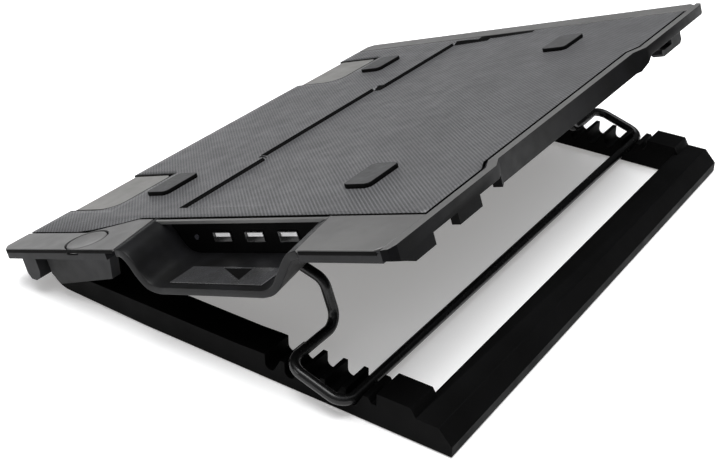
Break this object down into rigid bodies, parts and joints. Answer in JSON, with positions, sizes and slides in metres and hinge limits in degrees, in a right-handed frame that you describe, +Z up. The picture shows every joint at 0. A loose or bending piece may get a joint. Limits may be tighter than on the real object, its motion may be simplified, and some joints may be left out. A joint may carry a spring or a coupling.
{
  "type": "laptop cooling pad",
  "caption": "Tilting laptop cooling pad: perforated deck with a large fan and a side hub bay, hinged to an open floor frame and propped by a bent wire in a notched rack.",
  "frame": {"origin": "centre of the footprint on the floor", "axes": "+X to the user's right, +Y to the rear, +Z up"},
  "size_m": [0.39, 0.2982, 0.1142],
  "materials": {
    "base_black": "satin",
    "foot_rubber": "matte",
    "pin_steel": "satin",
    "deck_charcoal": "satin",
    "panel_grey": "painted, perforated, satin",
    "trim_silver": "fine satin",
    "gloss_black": "gloss",
    "plate_grey": "matte",
    "socket_metal": "bright",
    "tongue_white": "matte",
    "board_green": "satin",
    "lens_white": "gloss",
    "fan_black": "satin",
    "well_charcoal": "satin",
    "pad_rubber": "matte",
    "rod_black": "gloss"
  },
  "bodies": {
    "base": {"base_frame": "base_black", "base_feet": "foot_rubber", "hinge_pin_left": "pin_steel", "hinge_pin_right": "pin_steel"},
    "deck": {"deck_tray": "deck_charcoal", "mesh_panel": "panel_grey", "front_trim_right": "trim_silver", "rear_trim_right": "trim_silver", "side_trim_left": "trim_silver", "rear_bezel": "gloss_black", "hub_bay": "gloss_black", "bay_plate": "plate_grey", "usb_sockets": "socket_metal", "usb_tongues": "tongue_white", "hub_board": "board_green", "status_light": "lens_white", "upstream_socket": "socket_metal", "fan_frame": "fan_black", "fan_screws": "pin_steel", "fan_motor": "fan_black", "fan_guard": "fan_black", "dial_sensor": "fan_black", "stopper_well_right": "well_charcoal", "stopper_pin_right": "pin_steel", "stopper_well_left": "well_charcoal", "stopper_pin_left": "pin_steel", "rubber_pad_front_right": "pad_rubber", "rubber_pad_front_left": "pad_rubber", "rubber_pad_rear_right": "pad_rubber", "rubber_pad_rear_left": "pad_rubber", "stand_clip_right": "deck_charcoal", "stand_clip_left": "deck_charcoal", "cable_hook": "deck_charcoal", "deck_screws": "pin_steel"},
    "stand": {"wire_stand": "rod_black"},
    "fan": {"fan_rotor": "fan_black"},
    "dial": {"speed_dial": "trim_silver"},
    "stopper_right": {"stopper_right": "trim_silver"},
    "stopper_left": {"stopper_left": "trim_silver"}
  },
  "joints": [
    {"name": "deck_tilt", "type": "hinge", "parent": "base", "child": "deck", "pos_m": [0, -0.10989, 0.0176], "axis": [1, 0, 0], "range_deg": [0, 16]},
    {"name": "stand_swing", "type": "hinge", "parent": "deck", "child": "stand", "pos_m": [0, 0.01678, 0.05439], "axis": [1, 0, 0], "range_deg": [0, 35]},
    {"name": "stopper_right_flip", "type": "hinge", "parent": "deck", "child": "stopper_right", "pos_m": [0.1115, -0.14487, 0.02351], "axis": [1, 0, 0], "range_deg": [0, 90]},
    {"name": "stopper_left_flip", "type": "hinge", "parent": "deck", "child": "stopper_left", "pos_m": [-0.123, -0.14487, 0.02351], "axis": [1, 0, 0], "range_deg": [0, 90]},
    {"name": "fan_spin", "type": "hinge", "parent": "deck", "child": "fan", "pos_m": [-0.0115, 0.00611, 0.0677], "axis": [0, -0.3173, 0.9483], "continuous": true},
    {"name": "speed_dial_turn", "type": "hinge", "parent": "deck", "child": "dial", "pos_m": [0.1825, -0.08857, 0.0434], "axis": [0, -0.3173, 0.9483], "range_deg": [0, 270]}
  ]
}
